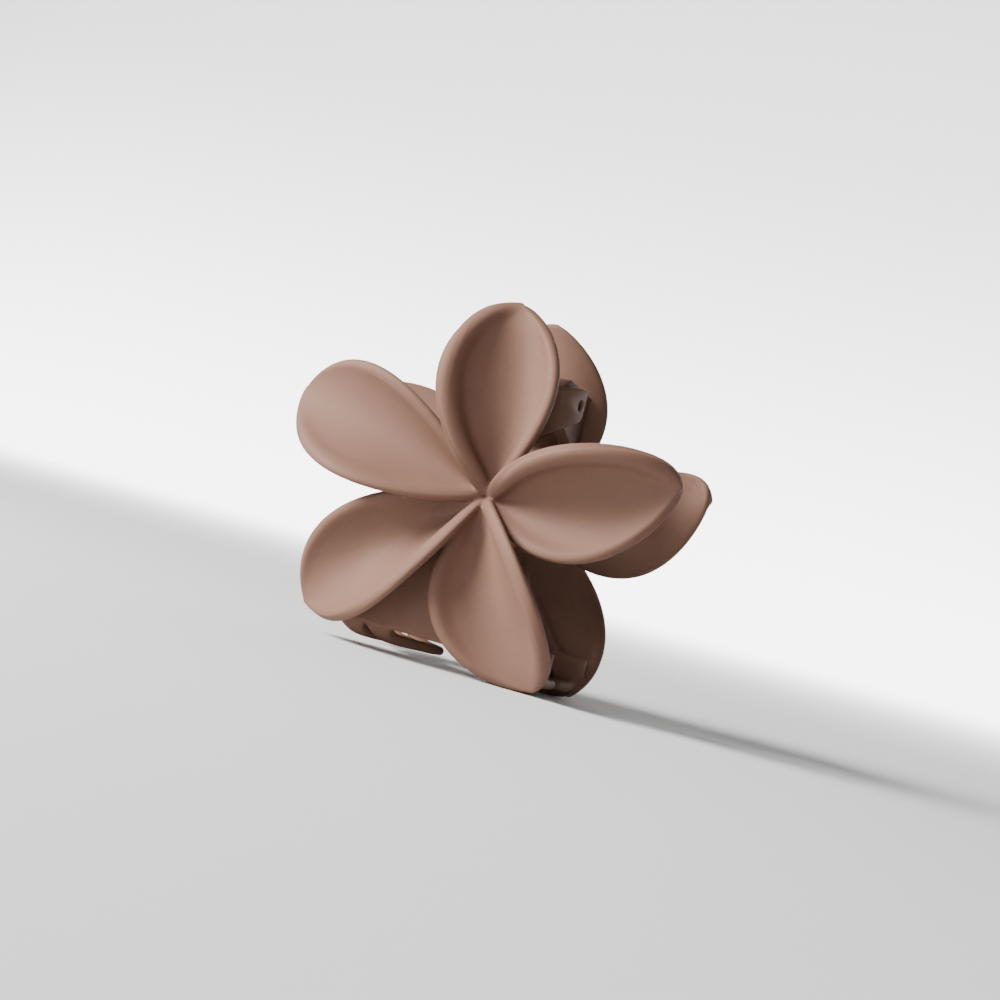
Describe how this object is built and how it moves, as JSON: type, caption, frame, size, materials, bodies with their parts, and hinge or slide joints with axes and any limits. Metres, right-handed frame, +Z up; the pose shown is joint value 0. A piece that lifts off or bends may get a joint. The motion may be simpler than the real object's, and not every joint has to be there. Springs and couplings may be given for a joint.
{
  "type": "flower hair claw",
  "caption": "Hair claw made of a pair of petalled flower mouldings in matte mauve-brown plastic, hinged on a steel pin and closed by a torsion spring.",
  "frame": {"origin": "centre of the clip's underside, at the height of the surface it stands on and half way between its two halves", "axes": "+X along the hinge pin, -Y out of the front flower and +Y out of the back flower, +Z up from the claws to the handle petals"},
  "size_m": [0.0784, 0.0422, 0.0693],
  "materials": {
    "petal_plastic": "matte",
    "pin_steel": "satin",
    "spring_steel": "satin"
  },
  "bodies": {
    "front": {"front_half": "petal_plastic", "hinge_pin": "pin_steel", "torsion_spring": "spring_steel"},
    "back": {"back_half": "petal_plastic"}
  },
  "joints": [
    {"name": "jaw_hinge", "type": "hinge", "parent": "front", "child": "back", "pos_m": [0.00272, 0, 0.05408], "axis": [1, 0, 0], "range_deg": [0, 40], "stiffness_Nm_per_rad": 0.25, "springref_deg": -34.38, "deforming": ["torsion_spring"]}
  ]
}
